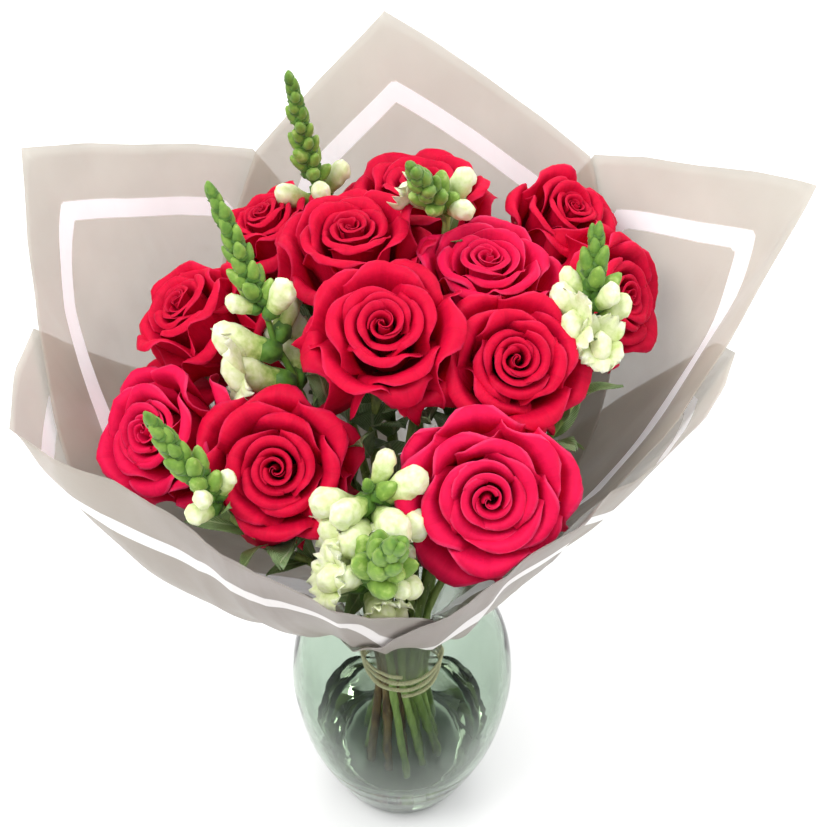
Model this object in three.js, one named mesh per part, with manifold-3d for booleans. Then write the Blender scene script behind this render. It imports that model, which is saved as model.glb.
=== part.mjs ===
// Twelve roses and seven snapdragons, wrapped in film and standing in a glass vase.
// Millimetres, +Z up. The origin is the centre of the vase's foot, on the surface it stands on.
import * as THREE from 'three';
import { mergeVertices } from 'three/addons/utils/BufferGeometryUtils.js';
import Module from 'manifold-3d';

const wasm = await Module();
wasm.setup();

// Vase
const footRadius = 36;
const bellyRadius = 65.5;
const neckRadius = 38.5;
const lipRadius = 47;
const vaseHeight = 200;
const glassWall = 4;
const baseThickness = 9;
const waterLevel = 55;
const vaseSides = 24;
const lipUnder = 197;
const waterClear = 1.2;
const waterCornerClear = 4.5;
const waterFloorRadius = 23;

// Stems and their tie
const roseStemRadius = 2.7;
const snapdragonStemRadius = 2.2;
const stemSides = 6;
const stemSteps = 15;
const bundlePitch = 6.3;
const stemFoot = 13;
const splay = 2.1;
const splayTurn = THREE.MathUtils.degToRad(38);
const tieBottom = 108;
const tieTop = 128;
const twineRadius = 1.0;
const twineTurns = 3;
const touchGap = 0.35;
const fanSpread = 1.2;
const fanRise = 100;
const straightTop = 50;

// Blooms
const receptacleHeight = 8;
const bloomDepth = 58;

// Leaves
const leafThickness = 0.7;
const leafFold = 0.25;
const leafEndShare = 0.06;
const leafLeastHalf = 0.6;

// Wrap
const filmThickness = 0.6;
const layerPitch = 1.15;
const layerSpread = 0.017;
const funnelShare = 0.3;
const sectionStep = 0.02;

function surface(color, roughness, opacity = 1) {
  return new THREE.MeshStandardMaterial({ color, roughness, opacity, transparent: opacity < 1 });
}

const colours = {
  glass: surface('#c9d8cc', 0.08, 0.4),
  water: surface('#b9cdc4', 0.05, 0.4),
  twine: surface('#c2a98a', 0.9),
  film: surface('#d8cfc6', 0.45, 0.8),
  rosePetal: surface('#c8102e', 0.6),
  roseStem: surface('#5d7a35', 0.55),
  snapdragonBloom: surface('#cfdb9a', 0.6),
  snapdragonStem: surface('#7d9a48', 0.55),
  leaf: surface('#8d9c78', 0.6),
};

const bouquet = new THREE.Group();

function addPiece(name, geometry, material) {
  const mesh = new THREE.Mesh(geometry, material);
  mesh.name = name;
  bouquet.add(mesh);
  return mesh;
}

// A closed geometry as a solid that can be joined or cut, and back again.
function solidOf(geometry) {
  const bare = geometry.clone();
  bare.deleteAttribute('normal');
  bare.deleteAttribute('uv');
  const merged = mergeVertices(bare, 1e-4);
  return new wasm.Manifold(new wasm.Mesh({
    numProp: 3,
    vertProperties: merged.attributes.position.array,
    triVerts: new Uint32Array(merged.index.array),
  }));
}

function geometryOf(solid) {
  const mesh = solid.getMesh();
  const geometry = new THREE.BufferGeometry();
  geometry.setAttribute('position', new THREE.BufferAttribute(mesh.vertProperties, 3));
  geometry.setIndex(new THREE.BufferAttribute(mesh.triVerts, 1));
  geometry.computeVertexNormals();
  return geometry;
}

// A shape turned about the upright axis. The profile holds [radius, height] pairs.
function turned(profile, sides) {
  const points = profile.map(([radius, height]) => new THREE.Vector2(radius, height));
  return new THREE.LatheGeometry(points, sides).rotateX(Math.PI / 2);
}

// ---- Vase and water ----

// The outside of the glass from the foot to just under the lip, as one smooth curve.
const vaseOutside = new THREE.SplineCurve([
  new THREE.Vector2(footRadius + 3.5, 4),
  new THREE.Vector2(49, 26),
  new THREE.Vector2(59.5, 58),
  new THREE.Vector2(bellyRadius - 0.7, 90),
  new THREE.Vector2(bellyRadius, 112),
  new THREE.Vector2(61.5, 136),
  new THREE.Vector2(50.5, 158),
  new THREE.Vector2(41, 172),
  new THREE.Vector2(neckRadius, 183),
  new THREE.Vector2(41.5, 193),
]);

// The inside of the glass at a height: the outside less the wall.
function insideRadius(height) {
  const samples = vaseOutside.getPoints(200);
  const nearest = samples.reduce((best, point) => (
    Math.abs(point.y - height) < Math.abs(best.y - height) ? point : best));
  return nearest.x - glassWall;
}

function makeVase() {
  const outer = vaseOutside.getPoints(15).map((point) => [point.x, point.y]);
  const lip = [
    [lipRadius - 0.5, lipUnder],
    [lipRadius, lipUnder + 2],
    [lipRadius - 2, vaseHeight],
    [lipRadius - 4.5, lipUnder + 0.5],
  ];
  const inner = [];
  for (const height of [190, 183, 172, 158, 136, 112, 90, 58, 36, 20]) {
    inner.push([insideRadius(height), height]);
  }
  const floor = [[insideRadius(12) - 3, baseThickness + 2], [24, baseThickness], [0, baseThickness]];
  const profile = [[0, 0], [footRadius, 0], [footRadius + 2.6, 1.4], ...outer, ...lip, ...inner, ...floor];
  return addPiece('vase', turned(profile, vaseSides), colours.glass);
}

function makeWater(stemTubes) {
  const gap = touchGap;
  const corner = 12.5;
  const profile = [
    [0, baseThickness + gap],
    [waterFloorRadius, baseThickness + gap],
    [insideRadius(corner) - waterCornerClear, corner],
  ];
  for (const height of [20, 36, waterLevel]) {
    profile.push([insideRadius(height) - waterClear, height]);
  }
  profile.push([0, waterLevel]);
  let water = solidOf(turned(profile, vaseSides));
  for (const tube of stemTubes) {
    water = water.subtract(tube);
  }
  return addPiece('water', geometryOf(water), colours.water);
}

// ---- Stems ----

// Stems pass the tie on a hexagonal lattice: one in the middle, a ring of six and a ring of twelve.
function slotPlace([ring, place]) {
  if (ring === 0) {
    return new THREE.Vector2(0, 0);
  }
  const step = ring === 1 ? 60 : 30;
  const reach = ring === 1 ? 1 : (place % 2 === 0 ? 2 : Math.sqrt(3));
  const angle = THREE.MathUtils.degToRad(step * place);
  return new THREE.Vector2(Math.cos(angle), Math.sin(angle)).multiplyScalar(reach * bundlePitch);
}

// A stem's centre line: splayed in the water, upright through the tie, then fanned out to its flower.
function stemLine(flower, top, axis) {
  const slot = slotPlace(flower.slot);
  const foot = slot.clone().rotateAround(new THREE.Vector2(0, 0), splayTurn).multiplyScalar(splay);
  const middle = foot.clone().add(slot).multiplyScalar(0.5);
  const fan = new THREE.CubicBezierCurve3(
    new THREE.Vector3(slot.x, slot.y, tieTop + 2),
    new THREE.Vector3(slot.x * fanSpread, slot.y * fanSpread, tieTop + fanRise),
    top.clone().addScaledVector(axis, -(flower.straight ?? straightTop)),
    top.clone(),
  );
  return new THREE.CatmullRomCurve3([
    new THREE.Vector3(foot.x, foot.y, stemFoot),
    new THREE.Vector3(middle.x, middle.y, (stemFoot + tieBottom) / 2),
    new THREE.Vector3(slot.x, slot.y, tieBottom),
    ...fan.getPoints(8),
  ]);
}

function stemTube(line, radius, steps = stemSteps) {
  const section = new THREE.Shape();
  for (let side = 0; side < stemSides; side += 1) {
    const angle = (2 * Math.PI * side) / stemSides;
    const corner = [radius * Math.cos(angle), radius * Math.sin(angle)];
    if (side === 0) {
      section.moveTo(...corner);
    } else {
      section.lineTo(...corner);
    }
  }
  section.closePath();
  return new THREE.ExtrudeGeometry(section, { steps, extrudePath: line });
}

// ---- Flowers ----

// Stand an upright shape at a point, along an axis.
function stand(geometry, point, axis) {
  const turn = new THREE.Quaternion().setFromUnitVectors(new THREE.Vector3(0, 0, 1), axis);
  return geometry.applyQuaternion(turn).translate(point.x, point.y, point.z);
}

function leaning(tilt, azimuth) {
  const lean = THREE.MathUtils.degToRad(tilt);
  const way = THREE.MathUtils.degToRad(azimuth);
  return new THREE.Vector3(
    Math.sin(lean) * Math.cos(way), Math.sin(lean) * Math.sin(way), Math.cos(lean));
}

// Each rose: the middle of its crown, how far it leans and which way, and its body's radius.
const roses = [
  { crown: [-9, -17, 411], tilt: 24, azimuth: -93, radius: 31, slot: [0, 0] },
  { crown: [56, -24, 393], tilt: 37, azimuth: -78, radius: 29, slot: [2, 0] },
  { crown: [41, -85, 360], tilt: 48, azimuth: -92, radius: 34, slot: [2, 10] },
  { crown: [-61, -61, 355], tilt: 42, azimuth: -99, radius: 31, slot: [1, 4] },
  { crown: [-131, -20, 338], tilt: 47, azimuth: -141, radius: 30, slot: [2, 6] },
  { crown: [-117, 48, 365], tilt: 34, azimuth: 176, radius: 30, slot: [2, 7] },
  { crown: [-76, 103, 378], tilt: 22, azimuth: 172, radius: 24, slot: [2, 4], straight: 36 },
  { crown: [-26, 58, 407], tilt: 3, azimuth: 166, radius: 29, slot: [1, 3] },
  { crown: [11, 115, 392], tilt: 11, azimuth: 92, radius: 33, slot: [2, 2] },
  { crown: [43, 48, 396], tilt: 2, azimuth: -15, radius: 29, slot: [1, 2] },
  { crown: [93, 105, 380], tilt: 26, azimuth: -23, radius: 24, slot: [2, 1], straight: 18 },
  { crown: [120, 48, 366], tilt: 59, azimuth: -30, radius: 30, slot: [1, 1] },
];

// Each snapdragon: where its lowest floret sits, its tip, and the spike's radius.
const snapdragons = [
  { low: [-44, 116, 368], tip: [-55, 102, 460], girth: 9, slot: [2, 3] },
  { low: [-52, 3, 340], tip: [-90, 39, 440], girth: 12, slot: [1, 5] },
  { low: [23, 76, 398], tip: [6, 44, 450], girth: 8, slot: [2, 5], straight: 22 },
  { low: [93, 5, 372], tip: [94, 30, 420], girth: 11, slot: [2, 11] },
  { low: [-87, -69, 336], tip: [-114, -65, 390], girth: 8, slot: [2, 8] },
  { low: [-18, -92, 305], tip: [-4, -122, 370], girth: 11, slot: [2, 9] },
  { low: [-12, -64, 312], tip: [-15, -77, 358], girth: 11, slot: [1, 0] },
];

const leaves = [
  { from: [-36, -4, 334], to: [-44, -14, 376], width: 18, facing: -110 },
  { from: [-16, -22, 322], to: [-21, -46, 358], width: 18, facing: -80 },
  { from: [14, -12, 335], to: [12, -35, 366], width: 22, facing: -80 },
  { from: [2, -34, 312], to: [-9, -52, 345], width: 24, facing: -80 },
  { from: [-42, -52, 296], to: [-60, -92, 322], width: 26, facing: -110 },
  { from: [66, -22, 318], to: [84, -40, 350], width: 22, facing: -60 },
];

function makeBloom(name, rose, base, axis) {
  const r = rose.radius;
  const h = bloomDepth - receptacleHeight - touchGap;
  const profile = [
    [0, 0], [6, 0], [0.55 * r, 0.08 * h], [0.85 * r, 0.3 * h], [r, 0.58 * h], [0.84 * r, 0.85 * h],
    [0.45 * r, 0.97 * h], [0, h],
  ];
  const foot = base.clone().addScaledVector(axis, receptacleHeight + touchGap);
  addPiece(name, stand(turned(profile, 10), foot, axis), colours.rosePetal);
}

function makeRose(rose, number) {
  const axis = leaning(rose.tilt, rose.azimuth);
  const base = new THREE.Vector3(...rose.crown).addScaledVector(axis, -bloomDepth);
  const line = stemLine(rose, base, axis);
  const cup = [[0, -2], [roseStemRadius, -2], [4.6, 2], [6.2, receptacleHeight], [0, receptacleHeight]];
  const receptacle = stand(turned(cup, 8), base, axis);
  const stem = solidOf(stemTube(line, roseStemRadius)).add(solidOf(receptacle));
  const label = String(number).padStart(2, '0');
  addPiece(`rose_${label}_stem`, geometryOf(stem), colours.roseStem);
  makeBloom(`rose_${label}_bloom`, rose, base, axis);
  return solidOf(stemTube(line, roseStemRadius + touchGap));
}

function makeSnapdragon(flower, number) {
  const low = new THREE.Vector3(...flower.low);
  const tip = new THREE.Vector3(...flower.tip);
  const axis = tip.clone().sub(low).normalize();
  const length = tip.distanceTo(low);
  const line = stemLine(flower, low, axis);
  const profile = [[0, 0], [3, 0], [0.85, 0.14], [1, 0.34], [0.82, 0.6], [0.5, 0.85], [0, 1]].map(
    ([across, along], index) => [index < 2 ? across : across * flower.girth, along * length]);
  const foot = low.clone().addScaledVector(axis, 3 * touchGap);
  addPiece(`snapdragon_${number}_stem`, stemTube(line, snapdragonStemRadius), colours.snapdragonStem);
  addPiece(`snapdragon_${number}_spike`, stand(turned(profile, 9), foot, axis), colours.snapdragonBloom);
  return solidOf(stemTube(line, snapdragonStemRadius + touchGap));
}

// Cut both broad sides of a thin slab along the same diagonals, so that they stay parallel where it warps.
function matchDiagonals(slab) {
  const underside = slab.groups[5];
  const index = slab.index;
  for (let first = underside.start; first < underside.start + underside.count; first += 6) {
    const [a, b, d, , c] = Array.from(index.array.subarray(first, first + 6));
    index.array.set([a, b, c, a, c, d], first);
  }
}

// A pointed, slightly folded blade: a thin slab pulled to the leaf's outline.
function makeLeaf(leaf, number) {
  const from = new THREE.Vector3(...leaf.from);
  const to = new THREE.Vector3(...leaf.to);
  const way = THREE.MathUtils.degToRad(leaf.facing);
  const along = to.clone().sub(from);
  const outward = new THREE.Vector3(Math.cos(way), Math.sin(way), 0.5).normalize();
  const across = along.clone().normalize().cross(outward).normalize();
  const up = across.clone().cross(along).normalize();
  const slab = new THREE.BoxGeometry(1, 1, 1, 2, 5, 1);
  const place = slab.attributes.position;
  for (let index = 0; index < place.count; index += 1) {
    const t = place.getY(index) + 0.5;
    const s = place.getX(index) * 2;
    const swell = Math.sin(Math.PI * Math.pow(t, 0.8));
    const half = 0.5 * leaf.width * (leafEndShare + (1 - leafEndShare) * swell);
    const fold = leafFold * half * (1 - Math.abs(s));
    const point = from.clone().addScaledVector(along, t);
    point.addScaledVector(across, s * Math.max(half, leafLeastHalf));
    point.addScaledVector(up, leafThickness * place.getZ(index) - fold);
    place.setXYZ(index, point.x, point.y, point.z);
  }
  matchDiagonals(slab);
  addPiece(`rose_leaf_${number}`, slab, colours.leaf);
}

// ---- Twine ----

class TwineHelix extends THREE.Curve {
  getPoint(t, target = new THREE.Vector3()) {
    const angle = 2 * Math.PI * twineTurns * t - Math.PI / 2;
    const reach = wrapFunnel[0].x + 3 * layerPitch + filmThickness + twineRadius + 1.6;
    const height = tieBottom + twineRadius + (tieTop - tieBottom - 2 * twineRadius) * t;
    return target.set(reach * Math.cos(angle), reach * Math.sin(angle), height);
  }
}

function makeTwine() {
  addPiece('twine_tie', stemTube(new TwineHelix(), twineRadius, 54), colours.twine);
}

// ---- Wrap ----

// The film's way up from the tie, through the neck and over the lip, as [radius, height].
const wrapFunnel = [
  [16.4, 118], [17.2, 132], [20, 150], [24.5, 168], [27.2, 180], [28.6, 188], [32.5, 198], [42, 208],
].map(([radius, height]) => new THREE.Vector2(radius, height));

// Round the flowers the film bellies out towards `belly`, then climbs to `rim`. Azimuth runs anticlockwise
// from +X, and the list closes on itself.
const seam = -10;
const wrapGuide = [
  { azimuth: seam, belly: [84, 262], rim: [143, 360] },
  { azimuth: 6, belly: [112, 258], rim: [172, 385] },
  { azimuth: 17, belly: [140, 252], rim: [207, 430] },
  { azimuth: 36, belly: [162, 240], rim: [192, 425] },
  { azimuth: 56, belly: [176, 240], rim: [196, 440] },
  { azimuth: 75, belly: [160, 240], rim: [184, 446] },
  { azimuth: 93, belly: [152, 240], rim: [178, 450] },
  { azimuth: 117, belly: [166, 240], rim: [190, 440] },
  { azimuth: 138, belly: [166, 240], rim: [191, 427] },
  { azimuth: 155, belly: [165, 240], rim: [206, 430] },
  { azimuth: 171, belly: [172, 240], rim: [192, 420] },
  { azimuth: 186, belly: [168, 236], rim: [188, 342] },
  { azimuth: 201, belly: [160, 227], rim: [144, 338] },
  { azimuth: 220, belly: [113, 221], rim: [126, 341] },
  { azimuth: 240, belly: [85, 220], rim: [123, 339] },
  { azimuth: 255, belly: [76, 217], rim: [126, 335] },
  { azimuth: 270, belly: [70, 217], rim: [123, 331] },
  { azimuth: 285, belly: [72, 217], rim: [119, 338] },
  { azimuth: 300, belly: [70, 221], rim: [113, 348] },
  { azimuth: 324, belly: [70, 236], rim: [114, 355] },
];

function mix(pairs, at) {
  const next = pairs.findIndex(([place]) => place >= at);
  if (next <= 0) {
    return pairs[next === 0 ? 0 : pairs.length - 1][1];
  }
  const [from, low] = pairs[next - 1];
  const [to, high] = pairs[next];
  return low + ((high - low) * (at - from)) / (to - from);
}

function guideAt(azimuth) {
  const turnedTo = THREE.MathUtils.euclideanModulo(azimuth - seam, 360) + seam;
  const keys = [...wrapGuide, { ...wrapGuide[0], azimuth: seam + 360 }];
  const read = (pick) => mix(keys.map((key) => [key.azimuth, pick(key)]), turnedTo);
  return {
    belly: new THREE.Vector2(read((key) => key.belly[0]), read((key) => key.belly[1])),
    rim: new THREE.Vector2(read((key) => key.rim[0]), read((key) => key.rim[1])),
  };
}

// Radius and height of the film at an azimuth: climb runs from 0 at the tie to 1 at the rim.
function wrapSection(azimuth, climb) {
  if (climb <= funnelShare) {
    const along = (climb / funnelShare) * (wrapFunnel.length - 1);
    const step = Math.min(Math.floor(along), wrapFunnel.length - 2);
    return wrapFunnel[step].clone().lerp(wrapFunnel[step + 1], along - step);
  }
  const { belly, rim } = guideAt(azimuth);
  const curve = new THREE.QuadraticBezierCurve(wrapFunnel[wrapFunnel.length - 1], belly, rim);
  return curve.getPoint((climb - funnelShare) / (1 - funnelShare));
}

// The same point moved out square to the film, for a sheet that lies outside others.
function wrapPoint(azimuth, climb, layer, through) {
  const here = wrapSection(azimuth, climb);
  const above = wrapSection(azimuth, Math.min(climb + sectionStep, 1));
  const tangent = above.sub(wrapSection(azimuth, Math.max(climb - sectionStep, 0)));
  const normal = new THREE.Vector2(tangent.y, -tangent.x).normalize();
  const clear = layer * (layerPitch + layerSpread * (here.x - wrapFunnel[0].x)) + filmThickness * through;
  here.addScaledVector(normal, clear);
  const angle = THREE.MathUtils.degToRad(azimuth);
  return new THREE.Vector3(here.x * Math.cos(angle), here.x * Math.sin(angle), here.y);
}

// Each lap of film: its layer, counted from the inside, and how high its edge climbs at each azimuth.
const laps = [
  { name: 'wrap_back', layer: 0, edge: [[17, 0.5], [56, 0.87], [93, 1], [117, 0.87], [155, 0.5]] },
  {
    name: 'wrap_left',
    layer: 1,
    edge: [[93, 0.6], [117, 0.87], [138, 0.95], [155, 1], [171, 0.89], [186, 0.8], [220, 0.5]],
  },
  {
    name: 'wrap_right',
    layer: 1,
    edge: [[-60, 0.5], [-10, 0.8], [6, 0.94], [17, 1], [36, 0.95], [56, 0.87], [75, 0.6]],
  },
  {
    name: 'wrap_front_left',
    layer: 2,
    edge: [[138, 0.5], [171, 0.88], [186, 1], [201, 1], [270, 1], [300, 0.6]],
  },
  {
    name: 'wrap_front_right',
    layer: 3,
    edge: [[240, 0.5], [270, 0.85], [285, 1], [350, 1], [366, 0.93], [396, 0.55]],
  },
];

// Every lap has its columns at the same azimuths, so that overlapping laps lie parallel.
const columnStep = 13;

function wrapColumns(first, last) {
  const keys = [...wrapGuide.map((key) => key.azimuth), seam + 360];
  const columns = [];
  for (let corner = 1; corner < keys.length; corner += 1) {
    const parts = Math.ceil((keys[corner] - keys[corner - 1]) / columnStep);
    for (let part = 0; part < parts; part += 1) {
      columns.push(keys[corner - 1] + ((keys[corner] - keys[corner - 1]) * part) / parts);
    }
  }
  const unrolled = [-360, 0, 360].flatMap((shift) => columns.map((azimuth) => azimuth + shift));
  return unrolled.filter((azimuth) => azimuth >= first - 0.01 && azimuth <= last + 0.01);
}

// Rows stand on the funnel's own corners, then share out the way from the lip to the edge.
const funnelRows = wrapFunnel.length - 1;
const bellyRows = 8;

function makeLap(lap) {
  const azimuths = wrapColumns(lap.edge[0][0], lap.edge[lap.edge.length - 1][0]);
  const columns = azimuths.length - 1;
  const rows = funnelRows + bellyRows;
  const slab = new THREE.BoxGeometry(1, 1, 1, columns, rows, 1);
  const place = slab.attributes.position;
  for (let index = 0; index < place.count; index += 1) {
    const azimuth = azimuths[Math.round((place.getX(index) + 0.5) * columns)];
    const top = mix(lap.edge, azimuth);
    const row = Math.round((place.getY(index) + 0.5) * rows);
    const climb = row < funnelRows
      ? (funnelShare * row) / funnelRows
      : funnelShare + ((top - funnelShare) * (row - funnelRows)) / bellyRows;
    const point = wrapPoint(azimuth, climb, lap.layer, place.getZ(index));
    place.setXYZ(index, point.x, point.y, point.z);
  }
  matchDiagonals(slab);
  addPiece(lap.name, slab, colours.film);
}

// ---- Assembly ----

makeVase();
const stemCuts = [
  ...roses.map((rose, index) => makeRose(rose, index + 1)),
  ...snapdragons.map((flower, index) => makeSnapdragon(flower, index + 1)),
];
makeWater(stemCuts);
makeTwine();
laps.forEach(makeLap);
leaves.forEach((leaf, index) => makeLeaf(leaf, index + 1));

export default bouquet;
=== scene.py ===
# Roses and snapdragons tied with twine, wrapped in frosted film and stood in a clear glass vase.
import math
import random

import bmesh
import bpy
from mathutils import Matrix, Vector, noise
from mathutils.bvhtree import BVHTree
from mathutils.kdtree import KDTree


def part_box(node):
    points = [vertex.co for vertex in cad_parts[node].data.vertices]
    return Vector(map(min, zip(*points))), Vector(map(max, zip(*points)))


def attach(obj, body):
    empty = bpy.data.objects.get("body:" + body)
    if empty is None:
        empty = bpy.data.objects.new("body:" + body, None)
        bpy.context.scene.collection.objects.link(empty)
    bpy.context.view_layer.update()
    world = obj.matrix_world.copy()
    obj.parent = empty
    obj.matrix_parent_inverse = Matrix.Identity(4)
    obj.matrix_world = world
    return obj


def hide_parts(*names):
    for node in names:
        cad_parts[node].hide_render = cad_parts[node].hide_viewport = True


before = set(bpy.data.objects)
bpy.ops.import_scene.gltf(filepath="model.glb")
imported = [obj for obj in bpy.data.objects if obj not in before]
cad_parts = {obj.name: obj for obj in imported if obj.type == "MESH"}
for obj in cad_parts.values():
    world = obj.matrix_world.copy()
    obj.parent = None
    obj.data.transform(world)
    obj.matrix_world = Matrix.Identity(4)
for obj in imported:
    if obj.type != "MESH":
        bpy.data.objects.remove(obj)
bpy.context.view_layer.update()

scene = bpy.context.scene
mm = 0.001
upright = Vector((0, 0, 1))
spiral = 137.5  # degrees from one petal, bud or leaf to the next

# Camera, floor and light

studio = {
    "lookAt": (0, 0, 0.30),  # middle of the bouquet, metres
    "distance": 0.95,
    "elevation": 48,  # degrees above level
    "lens": 79.19,
    "shift": (0.0139, 0.046),
    "floorSize": 60,
    "skyLevel": 0.9,  # brightness at the horizon
    "skyAbove": 1.25,
}

elevation = math.radians(studio["elevation"])
lookAt = Vector(studio["lookAt"])
cameraData = bpy.data.cameras.new("camera")
cameraData.lens = studio["lens"]
cameraData.shift_x, cameraData.shift_y = studio["shift"]
camera = bpy.data.objects.new("camera", cameraData)
camera.location = lookAt + studio["distance"] * Vector((0, -math.cos(elevation), math.sin(elevation)))
camera.rotation_euler = (math.pi / 2 - elevation, 0, 0)
scene.collection.objects.link(camera)
scene.camera = camera
scene.view_settings.view_transform = "Standard"


def colour(hexCode):  # an sRGB hex colour as linear red, green, blue and alpha
    parts = [int(hexCode[place:place + 2], 16) / 255 for place in (1, 3, 5)]
    return [p / 12.92 if p <= 0.04045 else ((p + 0.055) / 1.055) ** 2.4 for p in parts] + [1.0]


def newMaterial(name, settings):
    material = bpy.data.materials.new(name)
    material.use_nodes = True
    shader = material.node_tree.nodes["Principled BSDF"]
    for socket, value in settings.items():
        shader.inputs[socket].default_value = value
    return material, shader


def addNode(material, kind, settings=None, links=None):
    # settings go to inputs, or to the node itself; "stops" are a colour ramp's [place, colour] pairs
    made = material.node_tree.nodes.new("ShaderNode" + kind)
    for name, value in (settings or {}).items():
        if name == "stops":
            for place, shade in value[2:]:
                made.color_ramp.elements.new(place)
            for element, (place, shade) in zip(made.color_ramp.elements, sorted(value)):
                element.position, element.color = place, shade
        elif isinstance(name, int) or name in made.inputs:
            made.inputs[name].default_value = value
        else:
            setattr(made, name, value)
    for name, socket in (links or {}).items():
        material.node_tree.links.new(socket, made.inputs[name])
    return made


def join(material, socket, into, name):
    material.node_tree.links.new(socket, into.inputs[name])


def makeFloor():
    bm = bmesh.new()
    bmesh.ops.create_grid(bm, x_segments=1, y_segments=1, size=studio["floorSize"] / 2)
    mesh = bpy.data.meshes.new("studioFloor")
    bm.to_mesh(mesh)
    bm.free()
    # matt background paper, nearly white
    mesh.materials.append(newMaterial("mattPaper", {"Base Color": colour("#F4F3F1"), "Roughness": 0.9})[0])
    floor = bpy.data.objects.new("studioFloor", mesh)
    scene.collection.objects.link(floor)


def makeLamp(name, place, size, power):
    data = bpy.data.lights.new(name, "AREA")
    data.shape = "DISK"
    data.size = size
    data.energy = power
    lamp = bpy.data.objects.new(name, data)
    lamp.location = place
    lamp.rotation_euler = (lookAt - Vector(place)).to_track_quat("-Z", "Y").to_euler()
    scene.collection.objects.link(lamp)


makeFloor()
makeLamp("softboxLeft", (-0.9, -0.5, 2.0), 1.1, 24)
makeLamp("softboxRight", (1.4, 0.2, 1.5), 1.0, 9)
makeLamp("softboxBack", (0.2, 1.6, 1.5), 1.2, 10)
world = bpy.data.worlds.new("studioAir")
world.use_nodes = True
sky = world.node_tree.nodes["Background"]
sky.inputs["Color"].default_value = colour("#F7F9FC")
way = addNode(world, "TexCoord")
height = addNode(world, "SeparateXYZ", {}, {0: way.outputs["Generated"]})
glow = addNode(world, "MapRange",
               {"From Max": 0.9, "To Min": studio["skyLevel"], "To Max": studio["skyAbove"]},
               {"Value": height.outputs["Z"]})
join(world, glow.outputs[0], sky, "Strength")
scene.world = world
print("studio ready")


# Small tools

def smoothStep(value, low, high):
    share = min(max((value - low) / (high - low), 0), 1)
    return share * share * (3 - 2 * share)


def along(points, share):  # a place on the smooth curve through points, from 0 at the first to 1 at the last
    place = min(max(share, 0), 1) * (len(points) - 1)
    start = min(int(place), len(points) - 2)
    f = place - start
    last = len(points) - 1
    a, b, c, d = (points[min(max(start + step, 0), last)] for step in (-1, 0, 1, 2))
    square, cube = 2 * a - 5 * b + 4 * c - d, 3 * b - a - 3 * c + d
    return 0.5 * (2 * b + (c - a) * f + square * f * f + cube * f ** 3)


def between(keys, share):  # evenly spaced keys, straight in between
    place = min(max(share, 0), 1) * (len(keys) - 1)
    start = min(int(place), len(keys) - 2)
    return keys[start] + (place - start) * (keys[start + 1] - keys[start])


def cadMesh(node):  # a node's mesh, its loose corners merged
    bm = bmesh.new()
    bm.from_mesh(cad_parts[node].data)
    bmesh.ops.remove_doubles(bm, verts=bm.verts, dist=0.02 * mm)
    return bm


def cadPoles(node, foot):  # a turned solid's two poles, the one nearer foot first, and its radius
    bm = cadMesh(node)
    poles = sorted(bm.verts, key=lambda v: len(v.link_edges))[-2:]
    low, high = sorted((v.co.copy() for v in poles), key=lambda p: (p - foot).length)
    axis = (high - low).normalized()
    radius = max(((v.co - low) - axis * (v.co - low).dot(axis)).length for v in bm.verts)
    bm.free()
    return low, high, radius


def facing(axis, turn=0.0, place=Vector((0, 0, 0))):  # carries +Z onto axis, turned about it, moved to place
    lean = upright.rotation_difference(axis).to_matrix().to_4x4()
    return Matrix.Translation(place) @ lean @ Matrix.Rotation(turn, 4, "Z")


def makePiece(name, bm, materials, nodes):
    mesh = bpy.data.meshes.new(name)
    bm.to_mesh(mesh)
    bm.free()
    for material in materials:
        mesh.materials.append(material)
    mesh.shade_smooth()
    piece = bpy.data.objects.new(name, mesh)
    scene.collection.objects.link(piece)
    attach(piece, "root")
    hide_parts(*nodes)
    return piece


def thicken(piece, thickness, offset=-1.0):
    solid = piece.modifiers.new("thickness", "SOLIDIFY")
    solid.thickness = thickness
    solid.offset = offset


def tubeMesh(points, radii, sides):  # a closed tube along points, as a mesh
    data = bpy.data.curves.new("tube", "CURVE")
    data.dimensions = "3D"
    data.bevel_depth = 1.0
    data.bevel_resolution = sides // 2 - 1
    data.use_fill_caps = True
    data.resolution_u = 1
    spline = data.splines.new("POLY")
    spline.points.add(len(points) - 1)
    for knot, point, radius in zip(spline.points, points, radii):
        knot.co = (*point, 1)
        knot.radius = radius
    shape = bpy.data.objects.new("tube", data)
    scene.collection.objects.link(shape)
    graph = bpy.context.evaluated_depsgraph_get()
    mesh = bpy.data.meshes.new_from_object(shape.evaluated_get(graph))
    bpy.data.objects.remove(shape)
    return mesh


def addTube(bm, points, radii, sides=10):
    mesh = tubeMesh(points, radii, sides)
    known = len(bm.verts)
    bm.from_mesh(mesh)
    bpy.data.meshes.remove(mesh)
    bm.verts.ensure_lookup_table()
    fresh = bm.verts[known:]
    bmesh.ops.remove_doubles(bm, verts=fresh, dist=0.01 * mm)


# Vase and water: pressed soda-lime glass with the green cast of recycled cullet

vase = {
    "outside": [(36, 0.8), (39.5, 4), (49, 26), (59.5, 58), (64.8, 90), (65.5, 112), (61.5, 136),
                (50.5, 158), (41, 172), (38.5, 183), (41.5, 193)],  # radius and height, mm
    "lip": [(41.5, 193), (44.6, 195.4), (46.8, 197.6), (46.4, 199.4), (44.6, 200), (42.4, 199.1),
            (40.6, 197), (37.5, 193)],
    "wall": 4,
    "base": 9,
    "punt": 2.2,  # the foot's hollow underside
    "waterLevel": 55,
    "waterGap": 0.2,  # between the water and the glass, mm
    "sides": 112,
    "wave": 0.22,  # how far the pressed glass wanders, mm
}


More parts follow.
